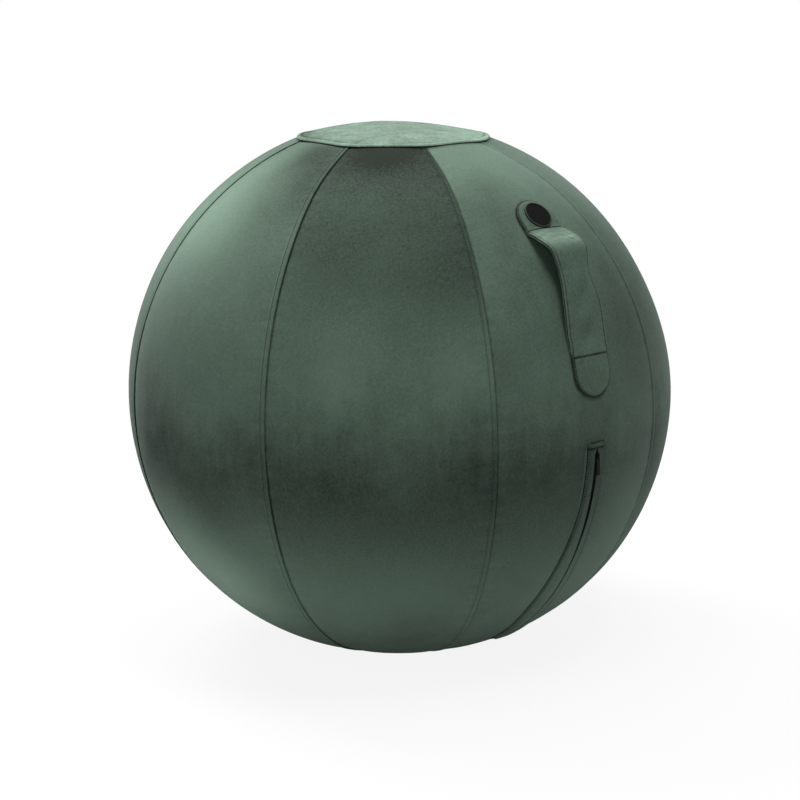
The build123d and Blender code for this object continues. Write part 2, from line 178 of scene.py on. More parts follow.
def srgb(red, green, blue):
    """A colour as it shows on screen, from 0 to 255, as the shader takes it."""
    levels = [red / 255, green / 255, blue / 255]
    linear = [((c + 0.055) / 1.055) ** 2.4 if c > 0.04 else c / 12.92 for c in levels]
    return (*linear, 1.0)


GREEN_DEEP = srgb(19, 25, 18)
GREEN_LIGHT = srgb(104, 126, 111)
GREEN_PALE = srgb(122, 145, 129)

# How light the cloth is from the foot to the crown, for nap brushed up or down: height share and
# lightness. The bands are partly the nap's own tone and partly painted light and shade, with a painted
# dark band below the middle.
NAP_HEIGHT = 0.64
NAP_AND_SHADE_UP = [
    (0.0, 0.46), (0.2, 0.57), (0.40, 0.16), (0.52, 0.42), (0.66, 0.44), (0.80, 0.62), (1.0, 0.68),
]
NAP_AND_SHADE_DOWN = [
    (0.0, 0.46), (0.2, 0.56), (0.41, 0.14), (0.60, 0.56), (0.78, 0.28), (0.92, 0.08), (1.0, 0.04),
]


def velvet(name, light=GREEN_LIGHT, crush=1.0, sheen=0.15):
    """Short-pile velvet: nap in bands, marks and clouds, partly painted light and shade; crushed pile;
    darker where stitches press it, with painted shade in creases and under edges.
    """
    cloth = Finish(name)
    at = cloth.place()
    clouds = cloth.noise(at, 7.0, 3.0, 0.55)
    brushed = cloth.noise(at, 34.0, 4.0, 0.6)
    streaks = cloth.noise(at, 60.0, 3.0, 0.6, (1.0, 1.0, 0.18))
    speckle = cloth.noise(at, 320.0, 3.0, 0.65)
    pile = cloth.noise(at, 520.0, 2.0, 0.6)
    height = cloth.node("ShaderNodeSeparateXYZ", {}, {0: at}, out=2)
    warp = (clouds - 0.5) * 0.04 + (brushed - 0.5) * 0.03 + (streaks - 0.5) * 0.035
    height = (height + warp) * (1 / NAP_HEIGHT)
    up = cloth.node("ShaderNodeValToRGB", {"stops": NAP_AND_SHADE_UP}, {0: height})
    down = cloth.node("ShaderNodeValToRGB", {"stops": NAP_AND_SHADE_DOWN}, {0: height})
    share = cloth.spot("brush")
    banded = cloth.spot("banded")
    # The nap spot and these bands hold painted light and shade as well as the nap's own tone.
    nap = cloth.spot("nap") + banded * (up * (1 - share) + down * share)
    nap = nap + (clouds - 0.5) * 0.14 + (brushed - 0.5) * (0.18 * crush)
    nap = nap + (streaks - 0.5) * 0.08 + (pile - 0.5) * 0.26
    nap = nap + (speckle - 0.5) * (0.14 + 0.28 * height) * crush
    # Painted shade in grooves, beside fold edges and under edges, on top of pile pressed by stitches.
    nap = nap - cloth.spot("crease") * 0.7
    colour = cloth.mix((nap * 0.92 + 0.08).atleast(0.0).atmost(1.2), GREEN_DEEP, light)
    relief = pile * 0.6 + brushed * 0.4
    return cloth.finish(
        Base_Color=colour,
        Roughness=0.95,
        Specular_IOR_Level=0.1,
        Sheen_Weight=sheen,
        Sheen_Roughness=0.45,
        Sheen_Tint=(0.74, 0.9, 0.82, 1.0),
        Normal=cloth.bump(relief, 0.35, 0.0012),
    )


# Modelling helpers

def alone(piece):
    """Only this piece is selected and active."""
    bpy.ops.object.select_all(action="DESELECT")
    piece.select_set(True)
    bpy.context.view_layer.objects.active = piece


def mode(name):
    """Goes into edit mode or back to object mode."""
    bpy.ops.object.mode_set(mode=name)


def pick_faces(piece, wanted):
    """Goes into edit mode with only the wanted faces selected."""
    mode("EDIT")
    bpy.ops.mesh.select_mode(type="FACE")
    bpy.ops.mesh.select_all(action="DESELECT")
    mode("OBJECT")
    for face in piece.data.polygons:
        face.select = wanted(face)
    mode("EDIT")


def smooth(low, high, value):
    """0 below low, 1 above high, and a soft step between them."""
    share = np.clip((np.asarray(value, float) - low) / (high - low), 0, 1)
    return share * share * (3 - 2 * share)


def hump(value, width):
    """1 at nought, falling off to either side over a width."""
    return np.exp(-((np.asarray(value, float) / width) ** 2))


def ripple(along, seed, lengths):
    """Uneven ripples along a seam, between about -1 and 1."""
    total = 0.0
    for order, length in enumerate(lengths):
        wander = 0.9 * np.sin(along / (length * 3.7) + seed * (order + 1.3))
        total = total + np.sin(2 * math.pi * along / length + seed * 2.1 * (order + 1) + wander)
    return total / len(lengths)


def ball_line(polar):
    """Distance out, height and outward direction of the cover's face at polar angles."""
    polar = np.asarray(polar, float)
    sine, cosine = np.sin(np.radians(polar)), np.cos(np.radians(polar))
    crown_reach = cosine * CROWN_UP + np.sqrt(CROWN**2 - (CROWN_UP * sine) ** 2)
    along = sine * SHOULDER_OUT + cosine * SHOULDER_UP
    shoulder_reach = along + np.sqrt(along**2 - TIGHTER**2 + SHOULDER**2)
    foot_reach = FOOT_DEPTH / np.maximum(-cosine, 0.001)
    crown, shoulder, foot = polar < CROWN_END, polar > SHOULDER_START, polar > FOOT_START
    reach = np.where(shoulder, np.where(foot, foot_reach, shoulder_reach), BALL)
    reach = np.where(crown, crown_reach, reach)
    out, up = reach * sine, reach * cosine
    face_out = np.where(shoulder, (out - SHOULDER_OUT) / SHOULDER, sine)
    face_out = np.where(crown, out / CROWN, face_out)
    face_up = np.where(shoulder, (up - SHOULDER_UP) / SHOULDER, cosine)
    face_up = np.where(crown, (up - CROWN_UP) / CROWN, face_up)
    return out, up, np.where(foot, 0.0, face_out), np.where(foot, -1.0, face_up)


def slack(polar, turn):
    """Millimetres that the cover lies inside its round shape: the crown leans, one panel is flat."""
    out, up = np.sin(np.radians(polar)), np.cos(np.radians(polar))
    side = out * np.cos(np.radians(turn - SLACK_TURN))
    ahead = -out * np.sin(np.radians(turn - SLACK_TURN))
    top = smooth(0.0, 0.3, up) * (1 - smooth(0.36, 0.66, out))
    crown = CROWN_LEAN * top * smooth(-0.2, 0.3, 0.6 * side + 0.8 * ahead)
    panel = PANEL_SLACK * smooth(-0.1, 0.4, side) * hump(ahead, 0.3) * smooth(-0.05, 0.5, up)
    return crown + panel - crown * panel / PANEL_SLACK


def around_axis(out, turn, up):
    """Points or directions at a distance out from the ball's axis, at turns from the front."""
    turn = np.radians(turn)
    return np.stack(np.broadcast_arrays(out * np.sin(turn), -out * np.cos(turn), up), -1)


def on_ball(polar, turn, lift):
    """Points at polar angles and turns from the front, lifted off the cover's face."""
    out, up, face_out, face_up = ball_line(polar)
    lift = lift - slack(polar, turn) * MM
    return around_axis(out + face_out * lift, turn, CENTRE + up + face_up * lift)


def off_ball(polar, turn):
    """Outward directions of the cover's face."""
    _, _, face_out, face_up = ball_line(polar)
    return around_axis(face_out, turn, face_up)


def unit(vectors):
    """The same directions with a length of 1."""
    return vectors / np.linalg.norm(vectors, axis=-1, keepdims=True)


def run_along(points):
    """Length of the way along a line of points, at each of them."""
    steps = np.linalg.norm(np.diff(points, axis=0), axis=1)
    return np.concatenate([[0], np.cumsum(steps)])


def read_along(places, run, values):
    """Points or directions given along a run, read off at places on it."""
    return np.stack([np.interp(places, run, values[:, k]) for k in range(values.shape[1])], -1)


def cloth_grid(name, points, spots=None, holes=None, closed=False):
    """A sheet laid on rows and columns of points, with its values for the velvet at each point."""
    rows, columns = points.shape[:2]
    bpy.ops.mesh.primitive_grid_add(x_subdivisions=columns - 1, y_subdivisions=rows - 1, size=2.0)
    piece = bpy.context.object
    piece.name = name
    mesh = piece.data
    mesh.name = name
    flat = np.empty(len(mesh.vertices) * 3)
    mesh.vertices.foreach_get("co", flat)
    flat = flat.reshape(-1, 3)
    column = np.rint((flat[:, 0] + 1) / 2 * (columns - 1)).astype(int)
    row = np.rint((flat[:, 1] + 1) / 2 * (rows - 1)).astype(int)
    mesh.vertices.foreach_set("co", points[row, column].ravel())
    for key, values in (spots or {}).items():
        spot = mesh.attributes.new(key, "FLOAT", "POINT")
        spread = np.broadcast_to(values, (rows, columns))[row, column]
        spot.data.foreach_set("value", spread.astype(np.float32))
    mesh.update()

    def in_hole(face):
        corners = list(face.vertices)
        return bool(holes(row[corners].min(), column[corners].min()))

    if holes is not None:
        pick_faces(piece, in_hole)
        bpy.ops.mesh.delete(type="FACE")
        mode("OBJECT")
    if closed:
        mode("EDIT")
        bpy.ops.mesh.select_all(action="SELECT")
        bpy.ops.mesh.remove_doubles(threshold=0.00001)
        mode("OBJECT")
    return piece


def thicken(piece, thickness):
    """Gives a sheet its thickness on the inside and shades it smooth."""
    alone(piece)
    wall = piece.modifiers.new("wall", "SOLIDIFY")
    wall.thickness = thickness
    wall.offset = -1.0
    bpy.ops.object.modifier_apply(modifier="wall")
    bpy.ops.object.shade_smooth()
    return piece


def dress(piece, material, body, slot, *nodes):
    """Gives a piece its material, body and the solids that it stands for; its slot is not used."""
    piece.data.materials.clear()
    piece.data.materials.append(material)
    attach(piece, body)
    if nodes:
        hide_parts(*nodes)


def model_stitch():
    """One stitch, modelled along X with its ends bent down: its points and faces, for a length of 1."""
    bpy.ops.mesh.primitive_uv_sphere_add(segments=6, ring_count=5, radius=0.5)
    stitch = bpy.context.object
    mode("EDIT")
    bpy.ops.mesh.select_all(action="SELECT")
    bpy.ops.transform.rotate(value=math.pi / 2, orient_axis="Y", center_override=(0, 0, 0))
    bpy.ops.transform.resize(value=(1.0, 0.24, 0.24), center_override=(0, 0, 0))
    mode("OBJECT")
    points = np.array([v.co for v in stitch.data.vertices])
    points[:, 2] -= 0.5 * points[:, 0] ** 2
    faces = [list(f.vertices) for f in stitch.data.polygons]
    bpy.data.objects.remove(stitch)
    return points, faces


STITCH = model_stitch()


def stitch_row(name, points, normals, length=STITCH_LENGTH):
    """A row of stitches along a line of points, each lying on the cloth."""
    run = run_along(points)
    count = int(run[-1] / STITCH_PITCH)
    places = (np.arange(count) + 0.5) * run[-1] / count
    at, up = read_along(places, run, points), read_along(places, run, normals)
    along = read_along(places + STITCH_PITCH / 4, run, points)
    along = unit(along - read_along(places - STITCH_PITCH / 4, run, points))
    side = unit(np.cross(up, along))
    up = np.cross(along, side)
    shape, faces = STITCH
    shape = shape * length
    every = (
        at[:, None, :]
        + shape[None, :, 0, None] * along[:, None, :]
        + shape[None, :, 1, None] * side[:, None, :]
        + shape[None, :, 2, None] * up[:, None, :]
    )
    size = len(shape)
    all_faces = [[corner + size * i for corner in face] for i in range(count) for face in faces]
    mesh = bpy.data.meshes.new(name)
    mesh.from_pydata(every.reshape(-1, 3).tolist(), [], all_faces)
    mesh.update()
    piece = bpy.data.objects.new(name, mesh)
    bpy.context.scene.collection.objects.link(piece)
    alone(piece)
    bpy.ops.object.shade_smooth()
    return piece


# Finishes of the cloth and its thread

cover_velvet = velvet("cover_velvet")
patch_velvet = velvet("patch_velvet", light=GREEN_PALE, crush=3.0, sheen=0.22)
strap_velvet = velvet("strap_velvet", crush=1.3)
yarn = Finish("thread")
strand = yarn.noise(yarn.place(), 900.0)
thread = yarn.finish(
    Base_Color=yarn.mix(strand, srgb(40, 52, 44), srgb(62, 78, 68)),
    Roughness=0.6,
    Normal=yarn.bump(strand, 0.4, 0.0004),
)


# Gores

# Places across a gore, in millimetres: in from its two edges, and from its middle
SEAM_STITCH = 5.6
WINDOW_HALF = 13
RIGHT_MM = [18, 13, 9.5, 7.8, 7.0, 6.4, 6.0, SEAM_STITCH, 5.2, 4.6, 3.6, 2.2, 1.2, 0.6, 0.25, 0]
LEFT_MM = [-5, -2, -0.6, 0, 0.5, 1.2, 2.2, 4, 8, 14, 20]
MIDDLE_MM = [-34, -26, -20, -16.5, -WINDOW_HALF, -4.3, 4.3, WINDOW_HALF, 16.5, 20, 26, 34]
BETWEEN = [0.17, 0.34, 0.5, 0.66, 0.83]
SEAM_FULL = 0.06  # a gore this wide from its middle has seams of full width
SEAM_START, SEAM_STITCH_START = 0.100, 0.112  # distances out where the fold and its stitches begin
GORE_FOOT, GORE_TIP = 169.5, 4.0
GORE_ROWS = np.concatenate([
    np.linspace(GORE_FOOT, ZIP_BOTTOM, 42, endpoint=False),
    np.linspace(ZIP_BOTTOM, ZIP_TOP, 100, endpoint=False),
    np.linspace(ZIP_TOP, GORE_TIP, 168),
])

# How light each gore is, and how far its nap is brushed down
GORE_TONE = [0.0, 0.01, -0.02, 0.02, -0.01, 0.01, 0.0, 0.0]
GORE_BRUSH = [0.0, 0.3, 0.8, 0.15, 0.6, 0.25, 0.35, 1.0]

# Lighter and darker marks in the cloth, partly the nap's own tone and partly painted light and shade,
# such as painted light on the upper and lower left rim and painted shade at its middle:
# gore, polar angle, place across from -1 to 1, spread down, spread across, lightness
NAP_AND_LIGHT_MARKS = [
    (7, 47, -0.8, 16, 0.6, 0.54),
    (6, 46, 0.9, 16, 0.5, 0.42),
    (7, 125, -0.2, 16, 0.7, 0.46),
    (7, 47, -0.1, 12, 0.45, 0.2),
    (7, 88, -0.8, 14, 0.7, -0.26),
    (6, 86, 0.7, 18, 0.9, -0.2),
    (7, 25, 0.45, 9, 0.7, -0.44),
    (7, 37, 0.85, 9, 0.35, -0.22),
    (7, 30, -0.5, 8, 0.4, 0.18),
    (8, 22, 0.0, 9, 0.9, -0.25),
    (8, 40, 0.0, 6, 0.9, 0.07),
    (8, 58, 0.4, 8, 0.45, -0.15),
    (8, 72, 0.9, 13, 0.3, -0.12),
    (8, 73, -0.75, 13, 0.4, -0.07),
    (1, 42, -0.6, 10, 0.5, -0.28),
    # Painted shadow of the strap, on its left
    (1, 60, -0.2, 13, 0.35, -0.12),
    (1, 62, 0.75, 22, 0.4, -0.24),
    (1, 107, 0.65, 15, 0.5, 0.25),
    (1, 130, -0.1, 11, 0.8, 0.1),
    (2, 68, -0.7, 20, 0.5, -0.2),
]


def gore_columns(half):
    """Places across a gore for rows of a half width; the seams keep their own widths."""
    shrink = np.minimum(1, half / SEAM_FULL) * MM
    left = [-half + shrink * e for e in LEFT_MM]
    middle = [shrink * c for c in MIDDLE_MM]
    right = [half - shrink * d for d in RIGHT_MM]
    left_gap = [left[-1] + (middle[0] - left[-1]) * share for share in BETWEEN]
    right_gap = [middle[-1] + (right[0] - middle[-1]) * share for share in BETWEEN]
    return np.stack(left + left_gap + middle + right_gap + right, -1)


def make_gore(number):
    """A panel of the cover from foot to crown, with its folded and topstitched right-hand edge."""
    turn = 360 / GORES * (number - 1)
    polar = GORE_ROWS[:, None]
    out, up, _, _ = ball_line(GORE_ROWS)
    half = out * math.pi / GORES
    across = gore_columns(half)
    shrink = np.minimum(1, half / SEAM_FULL)[:, None] * MM
    fold = (half[:, None] - across) / shrink
    tuck = (half[:, None] + across) / shrink
    steps = np.hypot(np.diff(out), np.diff(up))
    along = np.concatenate([[0], np.cumsum(steps)])[:, None] / MM
    shown = smooth(SEAM_START, PATCH, out)[:, None]

    lap = 0.9 * (1 - smooth(6.2, 7.8, fold)) - hump(fold, 0.42)
    groove = -0.75 * hump(fold - SEAM_STITCH, 0.5)
    under = -0.5 * (1 - smooth(0.5, 6.0, tuck))
    dip = -0.9 * hump(np.maximum(np.minimum(fold, tuck), 0), 20)
    pucker_right = ripple(along, number, (10.7, 16.3, 27.0)) * hump(fold - 8, 11)
    pucker_right = pucker_right * (1 - 0.6 * hump(fold - 2.8, 2.5))
    pucker_left = ripple(along, number + 4.4, (11.9, 18.1, 31.0)) * hump(tuck - 5, 12)
    swell = ripple(along + 0.45 * across / MM, number * 1.7, (170, 260))
    swell = swell * ripple(across / MM, number, (150, 210))
    seam_lift = lap + groove + under + 0.17 * pucker_right + 0.13 * pucker_left
    lift = shown * seam_lift + dip + 0.35 * swell
    points = on_ball(polar, turn + np.degrees(across / out[:, None]), lift * MM)
    # Painted shade: darker in the seam's stitch groove and at its fold edge, and a painted shadow on
    # the next gore beside the fold; fainter lower down.
    crease = 0.35 * hump(fold - SEAM_STITCH, 0.6) + 0.7 * hump(fold, 0.5)
    crease = crease + 0.7 * hump(np.maximum(tuck, 0), 1.3)
    crease = crease * (1 - 0.45 * smooth(50, 85, polar))
    brushing = ripple(across / MM, number * 2.3, (140, 210)) * ripple(along, number * 1.1, (190, 310))
    nap = GORE_TONE[number - 1] + 0.10 * brushing
    nap = nap + (0.05 * pucker_right + 0.04 * pucker_left) * shown
    for gore, mark_polar, mark_across, down, wide, lightness in NAP_AND_LIGHT_MARKS:
        if gore == number:
            place = across / half[:, None] - mark_across
            nap = nap + lightness * hump(polar - mark_polar, down) * hump(place, wide)
    first = len(LEFT_MM) + len(BETWEEN) + MIDDLE_MM.index(-WINDOW_HALF)
    last = len(LEFT_MM) + len(BETWEEN) + MIDDLE_MM.index(WINDOW_HALF)
    low, high = np.argmin(abs(GORE_ROWS - ZIP_BOTTOM)), np.argmin(abs(GORE_ROWS - ZIP_TOP))

    def window(row, column):
        return low <= row < high and first <= column < last

    spots = {"nap": nap, "crease": crease * shown, "brush": GORE_BRUSH[number - 1], "banded": 1.0}
    piece = cloth_grid(f"cover_gore_{number}", points, spots, window if number == ZIP_GORE else None)
    thicken(piece, COVER_CLOTH)
    dress(piece, cover_velvet, "ball", "velvet", f"gore_{number}")
    area = float((out[:-1] + out[1:]) / 2 @ steps) * 2 * math.pi / GORES

    seam = out > SEAM_STITCH_START
    row_polar = GORE_ROWS[seam]
    seam_turn = turn + np.degrees((half[seam] - SEAM_STITCH * MM) / out[seam])
    sewn = len(LEFT_MM) + 2 * len(BETWEEN) + len(MIDDLE_MM) + RIGHT_MM.index(SEAM_STITCH)
    threads = stitch_row(
        f"seam_stitches_{number}",
        on_ball(row_polar, seam_turn, lift[seam][:, sewn] * MM + STITCH_LIFT),
        off_ball(row_polar, seam_turn),
    )
    dress(threads, thread, "ball", "velvet")


for gore_number in range(1, GORES + 1):
    make_gore(gore_number)


# Top patch

PATCH_STITCH = 6.0
PATCH_EDGE = [10, 8.4, 7.2, 6.5, PATCH_STITCH, 5.5, 4.8, 3.4, 1.8, 0.7, 0.2, 0]
PATCH_LEFT = (-0.76, 0.65)  # the way to its darker end


def make_top_patch():
    """The round patch over the gores' points, with its hem turned under and topstitched."""
    rim = PATCH / MM
    reach = np.concatenate([np.linspace(0, rim - 12, 54), rim - np.array(PATCH_EDGE)])
    turn = np.linspace(0, 360, 193)[:, None]
    inset = rim - reach
    hem = 0.5 * (1 - smooth(4.4, 7.6, inset)) - 0.65 * hump(inset - PATCH_STITCH, 0.7)
    drop = -1.35 * (1 - smooth(0.0, 1.3, inset)) ** 2
    pull = 1 + 0.013 * np.cos(np.radians(GORES * (turn - 180 / GORES))) * smooth(40, rim, reach)
    east, north = np.moveaxis(around_axis(reach * pull, turn, 0.0), -1, 0)[:2]
    wrinkle = ripple(east + 0.6 * north, 1.0, (34, 57, 83))
    wrinkle = wrinkle * ripple(north - 0.4 * east, 2.0, (41, 66, 95))
    pucker = 0.12 * ripple(np.radians(turn) * rim, 3.0, (9.4, 14.1, 22.0)) * hump(inset - 8, 7)
    lift = 1.5 + hem + drop + 0.3 * wrinkle * smooth(8, 24, inset) + pucker
    out = reach * pull * MM
    up = CROWN_UP + np.sqrt(CROWN**2 - out**2)
    lift = lift - slack(np.degrees(np.arctan2(out, up)), turn)
    up = up + lift * MM
    out = out * (1 + lift * MM / CROWN)
    points = around_axis(out, turn, CENTRE + up)
    points[-1] = points[0]
    # Painted shade in the stitch groove and a painted dark line under the hem's edge
    crease = 0.85 * hump(inset - PATCH_STITCH, 1.2) + 0.6 * (1 - smooth(0.0, 0.7, inset))
    marks = ripple(east - 0.3 * north, 4.0, (23, 37, 61))
    marks = marks * ripple(north + 0.5 * east, 6.0, (19, 31, 52))
    nap = 0.62 + 0.22 * wrinkle + 0.26 * marks + 0.24 * (1 - smooth(1.5, 4.5, inset))
    toward_left = PATCH_LEFT[0] * east + PATCH_LEFT[1] * north
    dark_end = smooth(60, 105, toward_left) * (1 - smooth(10, 30, inset))
    nap = nap - 0.35 * dark_end + 0.2 * smooth(30, 100, -toward_left)
    spots = {"nap": nap[:, ::-1], "crease": crease[::-1], "brush": 0.0, "banded": 0.0}
    piece = cloth_grid("top_patch_cloth", points[:, ::-1], spots, closed=True)
    thicken(piece, COVER_CLOTH)
    dress(piece, patch_velvet, "ball", "velvet", "top_patch")
    ring = points[:, np.argmin(abs(inset - PATCH_STITCH))]
    normals = unit(ring - np.array([0, 0, CENTRE + CROWN_UP]))
    threads = stitch_row("patch_stitches", ring + normals * PATCH_STITCH_LIFT, normals)
    dress(threads, thread, "ball", "velvet")


make_top_patch()


# Strap handle

STRAP_HALF = 0.028

# Polar angles of the tabs' ends and cross stitches, and of the bow's corner, landing and cut
UPPER_END, UPPER_STITCH, LOWER_STITCH, LOWER_END = 42.0, 49.5, 75.6, 83.8
BOW_CORNER, BOW_TOUCH, BOW_CUT = 55.5, 71.5, 60.5

# Lifts and lengths in millimetres, and the share that the bow is narrower
TAB_LIFT, STRAP_LIFT, BOW_CORNER_LIFT = 0.2, 2.25, 22.0
BOW_RADIUS, BOW_SLACK = 14.0, 3.4
BOW_WAIST, WAIST_RUN = 0.22, 26.0

# Smoothing of the strap's line: its step and spread, points to either side, points kept at its ends
LINE_STEP, LINE_SPREAD, LINE_WINDOW, LINE_KEPT = 0.5, 3.2, 24, 40


def front(polar, lift):
    """Distance out and height of a point on the front meridian, in millimetres."""
    radius = BALL / MM + lift - float(slack(polar, 0.0))
    return np.array([radius * math.sin(math.radians(polar)), radius * math.cos(math.radians(polar))])


def strap_line():
    """The strap's middle line between its tabs' ends: its points, outward directions and run."""
    foot, touch = front(UPPER_STITCH, TAB_LIFT), front(BOW_TOUCH, TAB_LIFT)
    corner = front(BOW_CORNER, BOW_CORNER_LIFT)
    down_in, down_out = unit(foot - corner), unit(touch - corner)
    half_angle = math.acos(float(down_in @ down_out)) / 2
    reach = BOW_RADIUS / math.tan(half_angle)
    middle = corner + unit(down_in + down_out) * BOW_RADIUS / math.sin(half_angle)
    sweep = [corner + down_in * reach - middle, corner + down_out * reach - middle]
    first, last = [math.atan2(v[1], v[0]) for v in sweep]
    turns = np.linspace(first, last, 30)
    bend = [middle + BOW_RADIUS * np.array([math.cos(a), math.sin(a)]) for a in turns]
    tabs = [front(p, TAB_LIFT) for p in np.linspace(UPPER_END - 3, UPPER_STITCH, 30)]
    tail = [front(p, TAB_LIFT) for p in np.linspace(BOW_TOUCH, LOWER_END + 3, 40)]
    bulge = np.array([-down_out[1], down_out[0]]) * BOW_SLACK
    way = touch - bend[-1]
    shares = np.linspace(0.1, 0.9, 17)
    loose = [bend[-1] + way * t + bulge * math.sin(math.pi * t) for t in shares]
    rough = np.array(tabs + bend + loose + tail)
    run = run_along(rough)
    line = read_along(np.arange(0, run[-1], LINE_STEP), run, rough)
    near = np.arange(-LINE_WINDOW, LINE_WINDOW + 1) * LINE_STEP / LINE_SPREAD
    weights = np.exp(-(near**2) / 2)
    weights /= weights.sum()
    padded_line = np.pad(line, ((LINE_WINDOW, LINE_WINDOW), (0, 0)), mode="edge")
    soft = np.stack([np.convolve(padded_line[:, k], weights, "valid") for k in range(2)], -1)
    soft[:LINE_KEPT], soft[-LINE_KEPT:] = line[:LINE_KEPT], line[-LINE_KEPT:]
    ahead = unit(np.gradient(soft, axis=0))
    outward = np.stack([-ahead[:, 1], ahead[:, 0]], -1)
    middle_line = soft + outward * (STRAP_LIFT - TAB_LIFT)
    return middle_line, outward, run_along(middle_line)


STRAP_POINTS, STRAP_OUTWARD, STRAP_RUN = strap_line()
STRAP_POLAR = np.degrees(np.arctan2(STRAP_POINTS[:, 0], STRAP_POINTS[:, 1]))


def run_at(polar):
    """Place along the strap where it passes a polar angle."""
    return float(np.interp(polar, STRAP_POLAR, STRAP_RUN))


UPPER_TIP, LOWER_TIP = run_at(UPPER_END), run_at(LOWER_END)
UPPER_LINE, LOWER_LINE = run_at(UPPER_STITCH), run_at(LOWER_STITCH)
STRAP_CUT = run_at(BOW_CUT)


def on_strap(side, run, lift):
    """Points of the strap from its flat plan: across, along, and above its middle, in millimetres."""
    at = read_along(run, STRAP_RUN, STRAP_POINTS)
    face = read_along(run, STRAP_RUN, STRAP_OUTWARD)
    waist = BOW_WAIST * hump(run - STRAP_CUT, WAIST_RUN)
    lift = lift - waist * side**2 / (STRAP_HALF / MM) * 0.6
    side = side * (1 - waist)
    flat = smooth(UPPER_LINE - 2, UPPER_LINE + 12, run)
    flat = flat * (1 - smooth(LOWER_LINE - 22, LOWER_LINE - 4, run))
    lift = lift - (1 - flat) * side**2 / (2 * BALL / MM)
    out, up = at[..., 0] + face[..., 0] * lift, at[..., 1] + face[..., 1] * lift
    return np.stack(np.broadcast_arrays(side, -out, CENTRE / MM + up), -1) * MM


def off_strap(run):
    """Outward directions of the strap's face."""
    face = read_along(run, STRAP_RUN, STRAP_OUTWARD)
    return unit(np.stack([np.zeros(len(face)), -face[:, 0], face[:, 1]], -1))


def tab_outline(tip, inset=0.0):
    """Half the strap's outline from the cut round the tab's end and back, with its spine points."""
    sign = 1 if STRAP_CUT > tip else -1
    half = STRAP_HALF / MM
    centre = tip + sign * half
    straight = np.arange(STRAP_CUT, centre, -sign * 0.75)
    bend = np.linspace(90, -90, 73)[1:-1]
    ones, noughts = np.ones(len(straight)), np.zeros(len(straight))
    side = np.concatenate([ones, np.sin(np.radians(bend)), -ones])
    back = np.concatenate([noughts, np.cos(np.radians(bend)), noughts])
    spine = np.concatenate([straight, np.full(len(bend), centre), straight[::-1]])
    return side * (half - inset), spine - sign * back * (half - inset), spine


# A layer's section: places in from its edge on the underside, round the edge and on the face
STRAP_STITCH = 2.4
LAYER_UNDER = [28, 20, 13, 8, 5, 3.6, 2.4, 1.4]
LAYER_ROUND = [
    (0.75, -0.95), (0.3, -0.7), (0.06, -0.35), (0, 0), (0.06, 0.35), (0.3, 0.7), (0.75, 0.95),
]
LAYER_OVER = [1.2, 1.6, 2.0, 2.4, 2.9, 3.6, 5, 6.5, 8, 10.5, 13, 16, 20, 24, 28]
LAYER_INSET = LAYER_UNDER + [inset for inset, _ in LAYER_ROUND] + LAYER_OVER
LAYER_SIDE = [-1] * len(LAYER_UNDER) + [side for _, side in LAYER_ROUND] + [1] * len(LAYER_OVER)

# Heights above and below the strap's middle, in millimetres
LAYER_LEVEL, LAYER_RISE, TAB_FLOOR, STITCH_SINK = 1.05, 0.92, -2.0, 0.15
SEWN_RUN = 9
CROSS_HALF = 24.6
STRAP_TONE, LINING_TONE = 0.43, 0.40


def sewn_share(tip, line, run):
    """1 on the sewn tab, falling to 0 along the free bow."""
    return 1 - smooth(0, SEWN_RUN, (run - line) * (1 if tip < STRAP_CUT else -1))


def press_edge(lift, inset, sewn):
    """Presses the edge of a sewn tab down towards the cover."""
    return TAB_FLOOR + (lift - TAB_FLOOR) * (1 - 0.5 * (1 - smooth(0.3, 5.0, inset)) * sewn)


